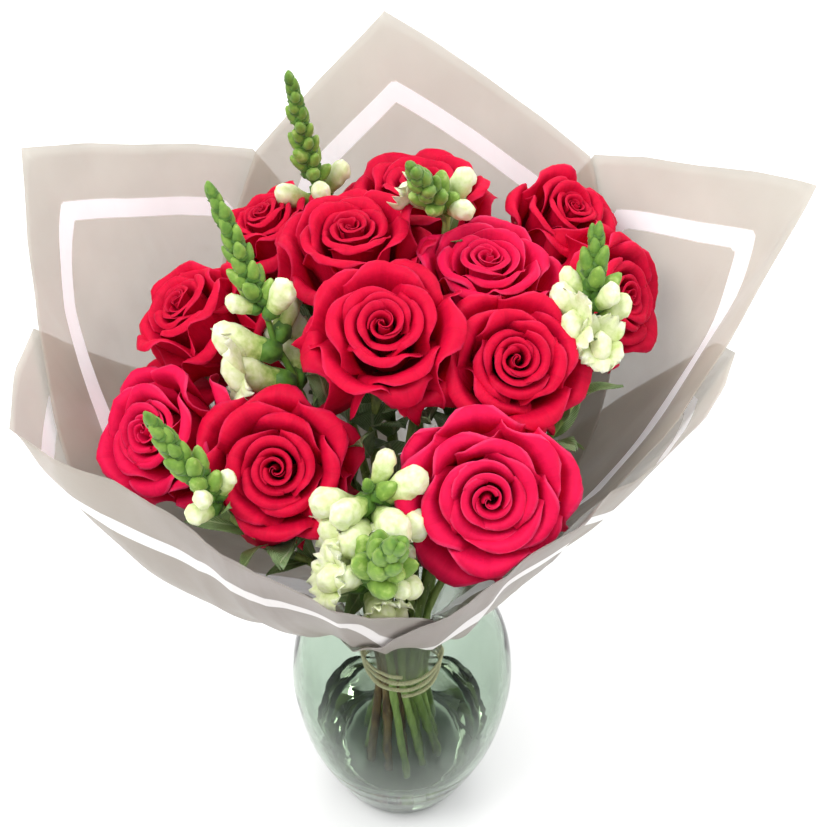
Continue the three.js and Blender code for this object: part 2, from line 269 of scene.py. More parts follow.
def glassMaterial():
    # soda-lime glass, fire polished: its green comes from depth, so the rims and the base look darkest
    material, shader = newMaterial("recycledGlass", {
        "Base Color": colour("#F6FBF8"), "Roughness": 0.0, "IOR": 1.42, "Transmission Weight": 1.0,
        "Specular IOR Level": 0.1, "Specular Tint": colour("#5A5F5C")})
    depth = addNode(material, "VolumeAbsorption", {"Color": colour("#8CAF8C"), "Density": 100.0})
    join(material, depth.outputs[0], material.node_tree.nodes["Material Output"], "Volume")
    place = addNode(material, "TexCoord")
    ripple = addNode(material, "TexNoise", {"Scale": 1 / 0.022, "Detail": 2.0},
                     {"Vector": place.outputs["Object"]})
    bump = addNode(material, "Bump", {"Strength": 0.35, "Distance": 0.0006},
                   {"Height": ripple.outputs[0]})
    join(material, bump.outputs[0], shader, "Normal")
    return material


def waterMaterial():
    # tap water a day old, IOR 1.33, faintly yellow-green from the stems
    material, shader = newMaterial("stemWater", {
        "Base Color": colour("#FAFCF6"), "Roughness": 0.0, "IOR": 1.333, "Transmission Weight": 1.0,
        "Specular IOR Level": 0.2})
    depth = addNode(material, "VolumeAbsorption", {"Color": colour("#BCCB92"), "Density": 5.0})
    join(material, depth.outputs[0], material.node_tree.nodes["Material Output"], "Volume")
    place = addNode(material, "TexCoord")
    drift = addNode(material, "TexNoise", {"Scale": 1 / 0.03}, {"Vector": place.outputs["Object"]})
    bump = addNode(material, "Bump", {"Strength": 0.1, "Distance": 0.0005}, {"Height": drift.outputs[0]})
    join(material, bump.outputs[0], shader, "Normal")
    return material


def turnProfile(profile, sides):  # a closed body from a profile whose ends are on the axis
    bm = bmesh.new()
    corners = [bm.verts.new((radius * mm, 0, height * mm)) for radius, height in profile]
    edges = [bm.edges.new(pair) for pair in zip(corners, corners[1:])]
    bmesh.ops.spin(bm, geom=corners + edges, cent=(0, 0, 0), axis=(0, 0, 1), angle=2 * math.pi,
                   steps=sides, use_merge=True)
    bmesh.ops.remove_doubles(bm, verts=bm.verts, dist=0.001 * mm)
    bmesh.ops.recalc_face_normals(bm, faces=bm.faces)
    return bm


vaseSide = [along([Vector(p) for p in vase["outside"]], step / 60) for step in range(61)]


def insideRadius(height):  # the hollow's radius at a height, mm
    nearest = min(vaseSide, key=lambda p: abs(p.y - height))
    return nearest.x - vase["wall"]


def makeVase():
    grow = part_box("vase")[1].z / (200 * mm)
    inner = [Vector((p.x - vase["wall"], p.y)) for p in reversed(vaseSide) if 14 < p.y < 192]
    floorRim = inner[-1].x
    base = vase["base"]
    corner = [(floorRim - 0.8, 11.6), (floorRim - 3, base + 0.9), (floorRim - 7, base + 0.1)]
    lip = [along([Vector(p) for p in vase["lip"]], step / 18) for step in range(1, 18)]
    punt = vase["punt"]
    profile = [(0, punt), (14, punt), (26, punt * 0.8), (31.5, 0.5), (34, 0), (35.2, 0.1)]
    profile += [tuple(p) for p in vaseSide + lip + inner] + corner + [(14, base), (0, base)]
    bm = turnProfile([(r * grow, z * grow) for r, z in profile], vase["sides"])
    for vert in bm.verts:
        flat = Vector((vert.co.x, vert.co.y, 0))
        if flat.length > 0.02 and vert.co.z > 0.006:
            stray = noise.noise(Vector((vert.co.x, vert.co.y, vert.co.z * 0.6)) * 28)
            vert.co += flat.normalized() * stray * vase["wave"] * mm
    return makePiece("glassVase", bm, [glassMaterial()], ["vase"])


def makeWater():
    level = vase["waterLevel"]
    gap = vase["waterGap"]
    side = [(insideRadius(z) - gap, z) for z in range(15, level, 4)]
    low = side[0][0]
    base = vase["base"] + gap
    floor = [(0, base), (14, base), (low - 7, base + 0.2), (low - 3, base + 1), (low - 0.8, base + 2.6)]
    edge = insideRadius(level) - gap
    # the surface climbs a little up the glass
    surface = [(edge + 0.5, level + 1.3), (edge - 0.6, level + 0.5), (edge - 2.4, level),
               (30, level - 0.1), (0, level - 0.1)]
    bm = turnProfile(floor + side + surface, vase["sides"])
    return makePiece("vaseWater", bm, [waterMaterial()], ["water"])


makeVase()
makeWater()
print("vase and water made")


# Stems: the CAD gives each one's middle line

stems = {
    "roseRadius": 2.7,  # mm
    "snapdragonRadius": 2.2,
    "steps": 46,
    "nodeSpacing": 34,  # a leaf scar every so many mm
}


def middleLine(node, top):  # the middle of a CAD stem at even heights, ending at top
    bm = cadMesh(node)
    foot = min(v.co.z for v in bm.verts)
    highest = top.z - 4 * mm
    heights = [foot + 0.3 * mm + (highest - foot - 0.3 * mm) * step / 15 for step in range(16)]
    line = []
    for height in heights:
        cuts = []
        for edge in bm.edges:
            a, b = (v.co for v in edge.verts)
            if (a.z - height) * (b.z - height) < 0:
                cuts.append(a + (b - a) * (height - a.z) / (b.z - a.z))
        across = [(min(p[i] for p in cuts) + max(p[i] for p in cuts)) / 2 for i in (0, 1)]
        line.append(Vector((across[0], across[1], height)))
    bm.free()
    return line + [top.copy()]


def stemMaterial(name, fresh, darkerTone):
    # bark of a green stem: waxy, streaked along its length, with pale pores
    material, shader = newMaterial(name, {"Roughness": 0.5, "Specular IOR Level": 0.4})
    place = addNode(material, "TexCoord")
    stretch = addNode(material, "Mapping", {"Scale": (1, 1, 0.12)}, {"Vector": place.outputs["Object"]})
    streak = addNode(material, "TexNoise", {"Scale": 1 / 0.003, "Detail": 3.0},
                     {"Vector": stretch.outputs[0]})
    ramp = addNode(material, "ValToRGB", {"stops": [(0.35, colour(darkerTone)), (0.62, colour(fresh))]},
                   {"Fac": streak.outputs[0]})
    pores = addNode(material, "TexVoronoi", {"Scale": 1 / 0.0025}, {"Vector": place.outputs["Object"]})
    spots = addNode(material, "ValToRGB", {"stops": [(0.08, (1, 1, 1, 1)), (0.16, (0, 0, 0, 1))]},
                    {"Fac": pores.outputs["Distance"]})
    mixed = addNode(material, "Mix", {"data_type": "RGBA", 7: colour("#B9BE86")},
                    {6: ramp.outputs[0], 0: spots.outputs[0]})
    join(material, mixed.outputs[2], shader, "Base Color")
    bump = addNode(material, "Bump", {"Strength": 0.5, "Distance": 0.0003}, {"Height": streak.outputs[0]})
    join(material, bump.outputs[0], shader, "Normal")
    return material


roseBarks = [
    stemMaterial("roseBark", "#7E9446", "#56662A"),
    stemMaterial("roseBarkRed", "#86653F", "#5A3B2B"),
]
snapdragonBark = stemMaterial("snapdragonBark", "#A3B566", "#7C9248")


def addStem(bm, line, radius, seed):
    draw = random.Random(seed)
    spread = draw.uniform(0, stems["nodeSpacing"])
    points = [along(line, step / (stems["steps"] - 1)) for step in range(stems["steps"])]
    radii = []
    travelled = 0.0
    for index, point in enumerate(points):
        if index:
            travelled += (point - points[index - 1]).length / mm
        beat = (travelled + spread) % stems["nodeSpacing"]
        knuckle = 0.16 * math.exp(-((beat - stems["nodeSpacing"] / 2) / 2.4) ** 2)
        thin = 1.06 - 0.16 * index / stems["steps"]
        radii.append(radius * mm * (thin + knuckle + 0.04 * noise.noise(point * 60)))
    addTube(bm, points, radii)


# Roses

roses = {
    "depth": 58,  # receptacle to crown, mm
    "calyx": 8.35,  # receptacle to the CAD bloom's foot, mm
    "fullness": 0.82,  # the CAD bloom's radius beside the open petals' reach
    "petals": 25,
    "thickness": 0.25,
    "gridAcross": 20,
    "gridAlong": 18,
    # one row of (reach, height) shares per petal, foot to tip, from the heart to the outermost petal
    "lines": [
        [(0.03, 0.30), (0.06, 0.50), (0.07, 0.68), (0.055, 0.84),
         (0.03, 0.93), (0.016, 0.965), (0.012, 0.975)],
        [(0.05, 0.18), (0.14, 0.38), (0.19, 0.58), (0.19, 0.77),
         (0.205, 0.90), (0.25, 0.965), (0.31, 0.965)],
        [(0.06, 0.10), (0.28, 0.28), (0.38, 0.50), (0.41, 0.71),
         (0.46, 0.87), (0.54, 0.955), (0.64, 0.95)],
        [(0.07, 0.06), (0.40, 0.19), (0.58, 0.40), (0.66, 0.62),
         (0.74, 0.80), (0.85, 0.90), (0.98, 0.885)],
        [(0.08, 0.04), (0.42, 0.10), (0.68, 0.24), (0.84, 0.43),
         (0.96, 0.60), (1.08, 0.71), (1.22, 0.69)],
    ],
    "wraps": [2.3, 1.7, 1.28, 1.08, 0.96],  # half a petal's width round the heart, radians
    "rounding": [0.06, 0.13, 0.26, 0.40, 0.50],  # how far its corners fall below its tip
    "points": [2.4, 2.0, 1.5, 1.2, 1.1],  # 2 is a round tip, 1 a straight-sided point
    "rolls": [0.0, 0.03, 0.11, 0.21, 0.30],  # how far its side edges roll back, share of the reach
    "droop": 0.13,  # how far an outer petal's tip hangs, share of the depth
    "mostHang": 1.5,
    "stretch": 0.1,  # how much longer the lowest outer petals are
    "filmGap": 4,  # mm that petals keep from the film
}

# how open each rose is, how far its outer petals bend back, and its shade, crimson 0 or pink 1
roseCharacters = [
    (1.0, 2.9, 0), (1.0, 1.0, 0), (1.05, 0.6, 1), (1.0, 1.2, 0), (1.05, 0.8, 1), (0.85, 2.3, 0),
    (0.9, 1.1, 0), (1.0, 0.8, 0), (1.1, 1.6, 0), (1.0, 0.6, 1), (0.9, 1.5, 0), (0.9, 1.3, 0),
]


def petalMaterial(name, face, glow, deepAndShade):
    # rose petal: velvety cells on a thin, slightly translucent blade, paler at the claw, with painted shade
    # and a painted highlight
    material, shader = newMaterial(name, {
        "Roughness": 0.6, "Specular IOR Level": 0.1, "Sheen Weight": 0.04, "Sheen Roughness": 0.4,
        "Sheen Tint": colour(glow), "Subsurface Weight": 0.12, "Subsurface Radius": (0.004, 0.0012, 0.001),
        "Subsurface Scale": 0.6})
    spot = addNode(material, "UVMap", {"uv_map": "UVMap"})
    parts = addNode(material, "SeparateXYZ", {}, {0: spot.outputs[0]})
    ring = addNode(material, "Attribute", {"attribute_name": "ring"})
    place = addNode(material, "TexCoord")
    cloud = addNode(material, "TexNoise", {"Scale": 1 / 0.012, "Detail": 3.0},
                    {"Vector": place.outputs["Object"]})
    # along the petal: a pale claw, painted shade low on the blade, its own red, then a painted highlight
    # along the top edge
    blade = addNode(material, "ValToRGB", {"stops": [
        (0.0, colour("#E8C79A")), (0.14, colour(deepAndShade)), (0.55, colour(face)), (0.93, colour(face)),
        (1.0, colour(glow))]},
                    {"Fac": parts.outputs["Y"]})
    mottled = addNode(material, "ValToRGB", {"stops": [(0.35, colour(deepAndShade)), (0.7, colour(face))]},
                      {"Fac": cloud.outputs[0]})
    body = addNode(material, "Mix", {"data_type": "RGBA", 0: 0.28},
                   {6: blade.outputs[0], 7: mottled.outputs[0]})
    # painted shade: the inner petals darker towards the heart
    paintedHeartShade = addNode(material, "MapRange",
                    {"From Min": 0.0, "From Max": 0.5, "To Min": 0.45, "To Max": 0.0},
                    {"Value": ring.outputs["Fac"]})
    whole = addNode(material, "Mix", {"data_type": "RGBA", 7: colour(deepAndShade)},
                    {6: body.outputs[2], 0: paintedHeartShade.outputs[0]})
    veins = addNode(material, "Mapping", {"Scale": (22, 1.6, 1)}, {"Vector": spot.outputs[0]})
    ribs = addNode(material, "TexNoise",
                   {"Scale": 1.0, "Detail": 5.0, "Roughness": 0.62, "Distortion": 0.6},
                   {"Vector": veins.outputs[0]})
    shade = addNode(material, "MapRange",
                    {"From Min": 0.3, "From Max": 0.62, "To Min": 0.34, "To Max": 0.0},
                    {"Value": ribs.outputs[0]})
    veined = addNode(material, "Mix", {"data_type": "RGBA", 7: colour(deepAndShade)},
                     {6: whole.outputs[2], 0: shade.outputs[0]})
    join(material, veined.outputs[2], shader, "Base Color")
    velvet = addNode(material, "TexNoise", {"Scale": 1 / 0.0016, "Detail": 3.0},
                     {"Vector": place.outputs["Object"]})
    rough = addNode(material, "Math", {"operation": "MULTIPLY_ADD", 1: 0.6},
                    {0: ribs.outputs[0], 2: velvet.outputs[0]})
    bump = addNode(material, "Bump", {"Strength": 0.35, "Distance": 0.0005}, {"Height": rough.outputs[0]})
    join(material, bump.outputs[0], shader, "Normal")
    return material


# each shade: the petal's red, a highlight colour for the sheen and the painted highlight, and a deep red for
# mottle, veins and painted shade
petalShades = [
    petalMaterial("rosePetalCrimson", "#DA0A38", "#EC2C5A", "#9A0224"),
    petalMaterial("rosePetalPink", "#E9124A", "#F84A7C", "#B40636"),
]


def allLaps():  # every CAD lap of film in one tree
    bm = bmesh.new()
    for name in ("back", "left", "right", "front_left", "front_right"):
        bm.from_mesh(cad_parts[f"wrap_{name}"].data)
    tree = BVHTree.FromBMesh(bm)
    bm.free()
    return tree


wrapTree = allLaps()
wrapEye = Vector((0, 0, 0.25))  # a place in the bouquet that sees the whole inside of the film


def keepInside(spot):  # petals lie against the film, never through it
    way = spot - wrapEye
    if spot.xy.length < 0.08:
        return spot
    wall = wrapTree.ray_cast(wrapEye, way.normalized())[3]
    if wall is None or wall - roses["filmGap"] * mm > way.length:
        return spot
    return wrapEye + way.normalized() * (wall - roses["filmGap"] * mm)


def addPetal(bm, share, turn, place, reach, depth, bend, draw, layer):
    lines = [[Vector(p) for p in line] for line in roses["lines"]]
    lift = draw.uniform(-0.06, 0.06) * (0.3 + share)
    spread = draw.uniform(0.92, 1.07)
    away = place.to_3x3() @ Vector((math.cos(turn), math.sin(turn), 0))
    outer = smoothStep(share, 0.72, 1)
    hang = min(bend * (0.3 + 1.6 * max(-away.z, 0)) * draw.uniform(0.6, 1.4), roses["mostHang"]) * outer
    base = place.translation
    lowest = max(away.dot(Vector((base.x, base.y, -0.1)).normalized()), 0)
    stretch = roses["stretch"] * bend * lowest * outer
    line = []
    for index in range(7):
        spot = between([row[index] for row in lines], share)
        tip = max(index - 3, 0) / 3
        fall = roses["droop"] * hang * (tip ** 1.5) * 3
        line.append(Vector((spot.x * spread * (1 + stretch * tip), spot.y * (1 + lift) - fall)))
    half = between(roses["wraps"], share) * draw.uniform(0.92, 1.06)
    rounding = between(roses["rounding"], share) * draw.uniform(0.8, 1.2)
    point = between(roses["points"], share)
    roll = between(roses["rolls"], share) * (0.6 + 0.4 * bend) * draw.uniform(0.7, 1.35)
    lean = draw.uniform(-0.16, 0.16)
    seed = draw.uniform(0, 50)
    waves = draw.uniform(1.2, 2.2)
    made = bmesh.ops.create_grid(bm, x_segments=roses["gridAcross"], y_segments=roses["gridAlong"], size=1.0,
                                 calc_uvs=True)
    for vert in made["verts"]:
        u = vert.co.x
        v = (vert.co.y + 1) / 2
        vert[layer] = share
        side = abs(u)
        peak = 0.13 * smoothStep(share, 0.2, 0.7) * (1 - min(side * 2.1, 1)) ** 1.5
        height = v * (1 - rounding * side ** point + lean * u * 0.6 + peak)
        spot = along(line, height)
        ahead = along(line, min(height, 0.98) + 0.02) - along(line, min(height, 0.98) - 0.02)
        outward = Vector((ahead.y, -ahead.x)).normalized()
        rolled = smoothStep(side, 0.42, 1.0) ** 1.3 * smoothStep(v, 0.45, 1.0)
        curl = smoothStep(v, 0.86, 1.0) * smoothStep(share, 0.08, 0.5) * 0.022
        ruffle = math.sin(waves * math.pi * u + seed) * v ** 3 * (0.004 + 0.03 * share)
        grain = noise.noise(Vector((u * 1.5 + seed, v * 1.8, seed))) * 0.08 * v * (0.2 + share)
        grain += noise.noise(Vector((u * 4.5 + seed, v * 3.2, seed))) * 0.03 * v * share
        spot += outward * (roll * rolled + curl + ruffle + grain)
        narrow = 1 - 0.28 * rolled * smoothStep(share, 0.2, 0.8)
        angle = turn + u * half * (0.8 + 0.2 * smoothStep(v, 0, 0.5)) * narrow
        radius = max(spot.x + 0.03 * half * u, 0.012) * reach
        flat = Vector((radius * math.cos(angle), radius * math.sin(angle), spot.y * depth))
        vert.co = keepInside(place @ flat)


def leafMaterial(name, face, vein, dark):
    # leaf: waxy, midrib and side veins paler than the blade, a little light through it
    material, shader = newMaterial(name, {
        "Roughness": 0.45, "Specular IOR Level": 0.45, "Subsurface Weight": 0.08,
        "Subsurface Radius": (0.001, 0.002, 0.0006), "Subsurface Scale": 0.5})
    spot = addNode(material, "UVMap", {"uv_map": "UVMap"})
    parts = addNode(material, "SeparateXYZ", {}, {0: spot.outputs[0]})
    middle = addNode(material, "Math", {"operation": "SUBTRACT", 1: 0.5}, {0: parts.outputs["X"]})
    side = addNode(material, "Math", {"operation": "ABSOLUTE"}, {0: middle.outputs[0]})
    slant = addNode(material, "Math", {"operation": "MULTIPLY_ADD", 1: -1.1},
                    {0: side.outputs[0], 2: parts.outputs["Y"]})
    comb = addNode(material, "CombineXYZ", {}, {"X": slant.outputs[0]})
    ribs = addNode(material, "TexWave", {"Scale": 4.0, "Distortion": 1.2, "Detail": 2.0},
                   {"Vector": comb.outputs[0]})
    fine = addNode(material, "ValToRGB", {"stops": [(0.86, (0, 0, 0, 1)), (0.97, (1, 1, 1, 1))]},
                   {"Fac": ribs.outputs[0]})
    midrib = addNode(material, "MapRange",
                     {"From Min": 0.02, "From Max": 0.045, "To Min": 1.0, "To Max": 0.0},
                     {"Value": side.outputs[0]})
    lines = addNode(material, "Math", {"operation": "MAXIMUM"},
                    {0: fine.outputs[0], 1: midrib.outputs[0]})
    place = addNode(material, "TexCoord")
    cloud = addNode(material, "TexNoise", {"Scale": 1 / 0.009, "Detail": 4.0},
                    {"Vector": place.outputs["Object"]})
    blade = addNode(material, "ValToRGB", {"stops": [(0.35, colour(dark)), (0.65, colour(face))]},
                    {"Fac": cloud.outputs[0]})
    weight = addNode(material, "Math", {"operation": "MULTIPLY", 1: 0.6}, {0: lines.outputs[0]})
    whole = addNode(material, "Mix", {"data_type": "RGBA", 7: colour(vein)},
                    {6: blade.outputs[0], 0: weight.outputs[0]})
    join(material, whole.outputs[2], shader, "Base Color")
    bump = addNode(material, "Bump", {"Strength": 0.5, "Distance": 0.0004}, {"Height": lines.outputs[0]})
    bump.invert = True
    join(material, bump.outputs[0], shader, "Normal")
    return material


roseLeaf = leafMaterial("roseLeaf", "#7E9666", "#BDC9A2", "#587443")
snapdragonLeaf = leafMaterial("snapdragonLeaf", "#7C9459", "#B6C393", "#587340")


def addLeaf(bm, base, tip, outward, width, seed, teeth=0.0):
    way = tip - base
    across = way.normalized().cross(outward).normalized()
    up = across.cross(way).normalized()
    made = bmesh.ops.create_grid(bm, x_segments=8, y_segments=22, size=1.0, calc_uvs=True)
    for vert in made["verts"]:
        u, v = vert.co.x, (vert.co.y + 1) / 2
        half = 0.5 * width * (0.05 + 0.95 * math.sin(math.pi * v ** 0.8) ** 0.9)
        half *= 1 + teeth * ((v * 15) % 1.0 - 0.5) * abs(u)
        fold = 0.28 * half * abs(u) + width * 0.06 * math.sin(9 * v + 3 * u + seed)
        arch = way.length * (0.1 * math.sin(math.pi * v) - 0.06 * v * v)
        vert.co = keepInside(base + way * v + across * u * half + up * (fold + arch))
    blade = list({face for vert in made["verts"] for face in vert.link_faces})
    bmesh.ops.solidify(bm, geom=blade, thickness=0.35 * mm)


def bmNormals(piece):  # turn every face of a piece outwards
    bm = bmesh.new()
    bm.from_mesh(piece.data)
    bmesh.ops.recalc_face_normals(bm, faces=bm.faces)
    bm.to_mesh(piece.data)
    bm.free()


def barkFor(number):
    return roseBarks[1 if number in (4, 5, 6) else 0]


def makeRose(number):
    label = f"{number:02d}"
    stemNode, bloomNode = f"rose_{label}_stem", f"rose_{label}_bloom"
    low, crown, radius = cadPoles(bloomNode, Vector((0, 0, 0.1)))
    axis = (crown - low).normalized()
    base = low - axis * roses["calyx"] * mm
    draw = random.Random(number)
    openness, bend, shade = roseCharacters[number - 1]
    place = facing(axis, draw.uniform(0, 2 * math.pi), base)
    bm = bmesh.new()
    bm.loops.layers.uv.new("UVMap")
    ring = bm.verts.layers.float.new("ring")
    count = roses["petals"]
    for index in range(count):
        share = (index / (count - 1)) ** (1 / openness)
        turn = math.radians(spiral * index) + draw.uniform(-0.2, 0.2)
        addPetal(bm, share, turn, place, radius / roses["fullness"], roses["depth"] * mm, bend, draw, ring)
    bloom = makePiece(f"roseBloom{label}", bm, [petalShades[shade]], [bloomNode])
    thicken(bloom, roses["thickness"] * mm)
    makeRoseStem(label, number, stemNode, base, place)


greenery = {
    "sepalLine": [(4.5, 6.5), (10, 9.5), (17, 10), (23, 7), (28, 2)],  # reach and height, mm
    "sepalWidth": 7.5,
    "cup": [(2.4, -3), (3.4, -0.5), (5.4, 2.6), (6.2, 6), (5.2, 8.2)],  # the green cup under the petals
    "leaves": 5,  # on each stem, below its bloom
    "leafLength": 44,
    "leafWidth": 24,
    "highestLeaf": 0.9,  # share of the stem
    "leafStep": 0.04,
}


def makeRoseStem(label, number, node, base, place):
    bm = bmesh.new()
    bm.loops.layers.uv.new("UVMap")
    addStem(bm, middleLine(node, base), stems["roseRadius"], number)
    cup = [Vector(p) for p in greenery["cup"]]
    rings = [along(cup, step / 10) for step in range(11)]
    addTube(bm, [place @ Vector((0, 0, p.y * mm)) for p in rings], [p.x * mm for p in rings], 12)
    draw = random.Random(100 + number)
    sepal = [Vector(p) for p in greenery["sepalLine"]]
    for lobe in range(5):
        turn = 2 * math.pi * lobe / 5 + draw.uniform(-0.2, 0.2)
        drop = draw.uniform(-3, 4)
        made = bmesh.ops.create_grid(bm, x_segments=6, y_segments=12, size=1.0, calc_uvs=True)
        for vert in made["verts"]:
            u, v = vert.co.x, (vert.co.y + 1) / 2
            spot = along(sepal, v)
            half = 0.5 * greenery["sepalWidth"] * (0.12 + 0.88 * math.sin(math.pi * min(v * 0.72 + 0.22, 1)))
            lift = 1.4 * u * u * (1 - v) - drop * v * v
            flat = Vector((spot.x * mm, u * half * mm, (spot.y + lift) * mm))
            vert.co = place @ (Matrix.Rotation(turn, 4, "Z") @ flat)
        blade = list({face for vert in made["verts"] for face in vert.link_faces})
        bmesh.ops.solidify(bm, geom=blade, thickness=0.5 * mm)
    stemFaces = len(bm.faces)
    line = middleLine(node, base)
    for index in range(greenery["leaves"]):
        share = greenery["highestLeaf"] - greenery["leafStep"] * index
        start = along(line, share)
        ahead = (along(line, share + 0.02) - along(line, share - 0.02)).normalized()
        radial = facing(ahead, 2.4 * index + number).to_3x3() @ Vector((1, 0, 0))
        if radial.y > 0.2:
            radial.negate()
        end = start + (radial * 0.55 + ahead * 0.75) * greenery["leafLength"] * draw.uniform(0.85, 1.1) * mm
        addLeaf(bm, start, end, ahead * 0.6 - radial * 0.8, greenery["leafWidth"] * mm, index, 0.12)
    bm.faces.ensure_lookup_table()
    for face in bm.faces[stemFaces:]:
        face.material_index = 1
    piece = makePiece(f"roseStem{label}", bm, [barkFor(number), roseLeaf], [node])
    bmNormals(piece)


for roseNumber in range(1, 13):
    makeRose(roseNumber)
print("roses made")


# Snapdragons: green buds up the spike, pale closed florets and ruffled open ones below

snapdragons = {
    "coreRadius": 2.0,  # mm
    "budLength": (15.5, 9.0),  # lowest green bud and the one at the tip
    "budGirth": (9.6, 5.4),
    "budStep": 2.5,  # up the spike from one bud to the next
    "budLean": (58, 22),  # degrees from the spike
    "budScale": 0.95,
    "petalThickness": 0.35,
    "leaves": 9,
    "leafZone": (0.7, 0.94),  # where they grow, share of the stem
    "leafLength": (26, 40),
    "leafWidth": (8, 13),
}

# where the green buds start up each spike, how plump they are, then its florets: kind, how far up the
# spike, which way they face in degrees, and size
spikes = [
    (0.22, 1.0, [("closed", 0.16, -70, 0.75), ("closed", 0.06, 30, 0.8), ("closed", 0.02, 190, 0.85)]),
    (0.46, 1.05, [("closed", 0.44, 205, 0.62), ("closed", 0.40, -25, 0.85), ("closed", 0.27, 60, 1.0),
        ("closed", 0.22, 190, 1.15), ("open", 0.06, 200, 1.25), ("open", 0.03, 90, 1.0)]),
    (0.2, 1.25, [("closed", 0.14, -30, 0.8), ("closed", 0.05, 40, 0.9), ("open", 0.0, 150, 0.9)]),
    (0.45, 1.15, [("closed", 0.45, 170, 0.65), ("closed", 0.36, -60, 0.7), ("closed", 0.24, 205, 0.9),
        ("closed", 0.2, -20, 0.75), ("open", 0.0, -125, 0.95), ("open", -0.14, -80, 0.85)]),
    (0.2, 1.15, [("closed", 0.16, -80, 0.62), ("closed", 0.08, 10, 0.6), ("closed", 0.02, -120, 0.7)]),
    (0.34, 1.7, [("closed", 0.32, 200, 0.85), ("closed", 0.3, -40, 0.75), ("closed", 0.22, 100, 0.9),
        ("open", 0.12, 190, 1.1), ("closed", 0.15, -20, 0.95), ("open", 0.02, -70, 1.0),
        ("closed", 0.08, 150, 1.1)]),
    (0.86, 1.1, [("closed", 0.84, 60, 0.8), ("closed", 0.8, -130, 1.0), ("closed", 0.7, 10, 1.1),
        ("closed", 0.6, -60, 1.2), ("closed", 0.55, 190, 1.15), ("closed", 0.42, -110, 1.25),
        ("closed", 0.3, -30, 1.2), ("open", 0.24, -150, 1.15), ("open", 0.14, -80, 1.15)]),
]


def petalOfSnapdragon():
    # snapdragon petal and bud: soft, thin and matt, green in the bud and turning cream as it opens
    material, shader = newMaterial("snapdragonPetal", {
        "Roughness": 0.55, "Specular IOR Level": 0.3, "Subsurface Weight": 0.2,
        "Subsurface Radius": (0.003, 0.0035, 0.002), "Subsurface Scale": 0.6, "Sheen Weight": 0.1})
    pale = addNode(material, "Attribute", {"attribute_name": "pale"})
    place = addNode(material, "TexCoord")
    cloud = addNode(material, "TexNoise", {"Scale": 1 / 0.004, "Detail": 3.0},
                    {"Vector": place.outputs["Object"]})
    drift = addNode(material, "MapRange",
                    {"From Min": 0.3, "From Max": 0.7, "To Min": -0.12, "To Max": 0.12},
                    {"Value": cloud.outputs[0]})
    total = addNode(material, "Math", {"operation": "ADD"}, {0: pale.outputs["Fac"], 1: drift.outputs[0]})
    tint = addNode(material, "ValToRGB", {"stops": [
        (0.0, colour("#3C621C")), (0.22, colour("#58802A")), (0.45, colour("#7FA040")),
        (0.62, colour("#B9CB78")), (0.82, colour("#DDE4B0")), (1.0, colour("#EFF1D8"))]},
                   {"Fac": total.outputs[0]})
    join(material, tint.outputs[0], shader, "Base Color")
    bump = addNode(material, "Bump", {"Strength": 0.3, "Distance": 0.0003}, {"Height": cloud.outputs[0]})
    join(material, bump.outputs[0], shader, "Normal")
    return material


snapdragonPetal = petalOfSnapdragon()


def frameOf(place, forward, upward):  # +Z forward, +X as near upward as it can be
    z = forward.normalized()
    x = (upward - upward.dot(z) * z).normalized()
    return Matrix.Translation(place) @ Matrix((x, z.cross(x), z)).transposed().to_4x4()


def ringScale(vert, radius):  # what turns a unit ball's ring into one of this radius
    ring = math.hypot(vert.co.x, vert.co.y)
    return radius / ring if ring > 1e-5 else 0.0


def addCalyx(bm, place, foot, mouth, heights, tint, layer):  # heights of its foot, notches and five points
    cup = bmesh.ops.create_cone(bm, cap_ends=True, segments=10, radius1=foot, radius2=mouth, depth=1.0)
    for index, vert in enumerate(sorted(cup["verts"], key=lambda v: (v.co.z, math.atan2(v.co.y, v.co.x)))):
        level = 0 if vert.co.z < 0 else 2 if index % 2 else 1
        vert[layer] = tint
        vert.co = place @ Vector((vert.co.x, vert.co.y, heights[level]))


def addBud(bm, place, length, girth, pale, layer):
    made = bmesh.ops.create_uvsphere(bm, u_segments=8, v_segments=6, radius=1.0)
    for vert in made["verts"]:
        share = (vert.co.z + 1) / 2
        swell = math.sin(math.pi * min(share * 0.96 + 0.02, 1)) ** 0.6 * (1.12 - 0.42 * share)
        scale = ringScale(vert, 0.5 * girth * swell)
        vert[layer] = pale + 0.12 * share
        bow = 0.2 * length * share ** 2
        vert.co = place @ Vector((vert.co.x * scale + bow, vert.co.y * scale, share * length))
    heights = (-0.06 * length, 0.12 * length, 0.34 * length)
    addCalyx(bm, place, 0.22 * girth, 0.53 * girth, heights, 0.08, layer)


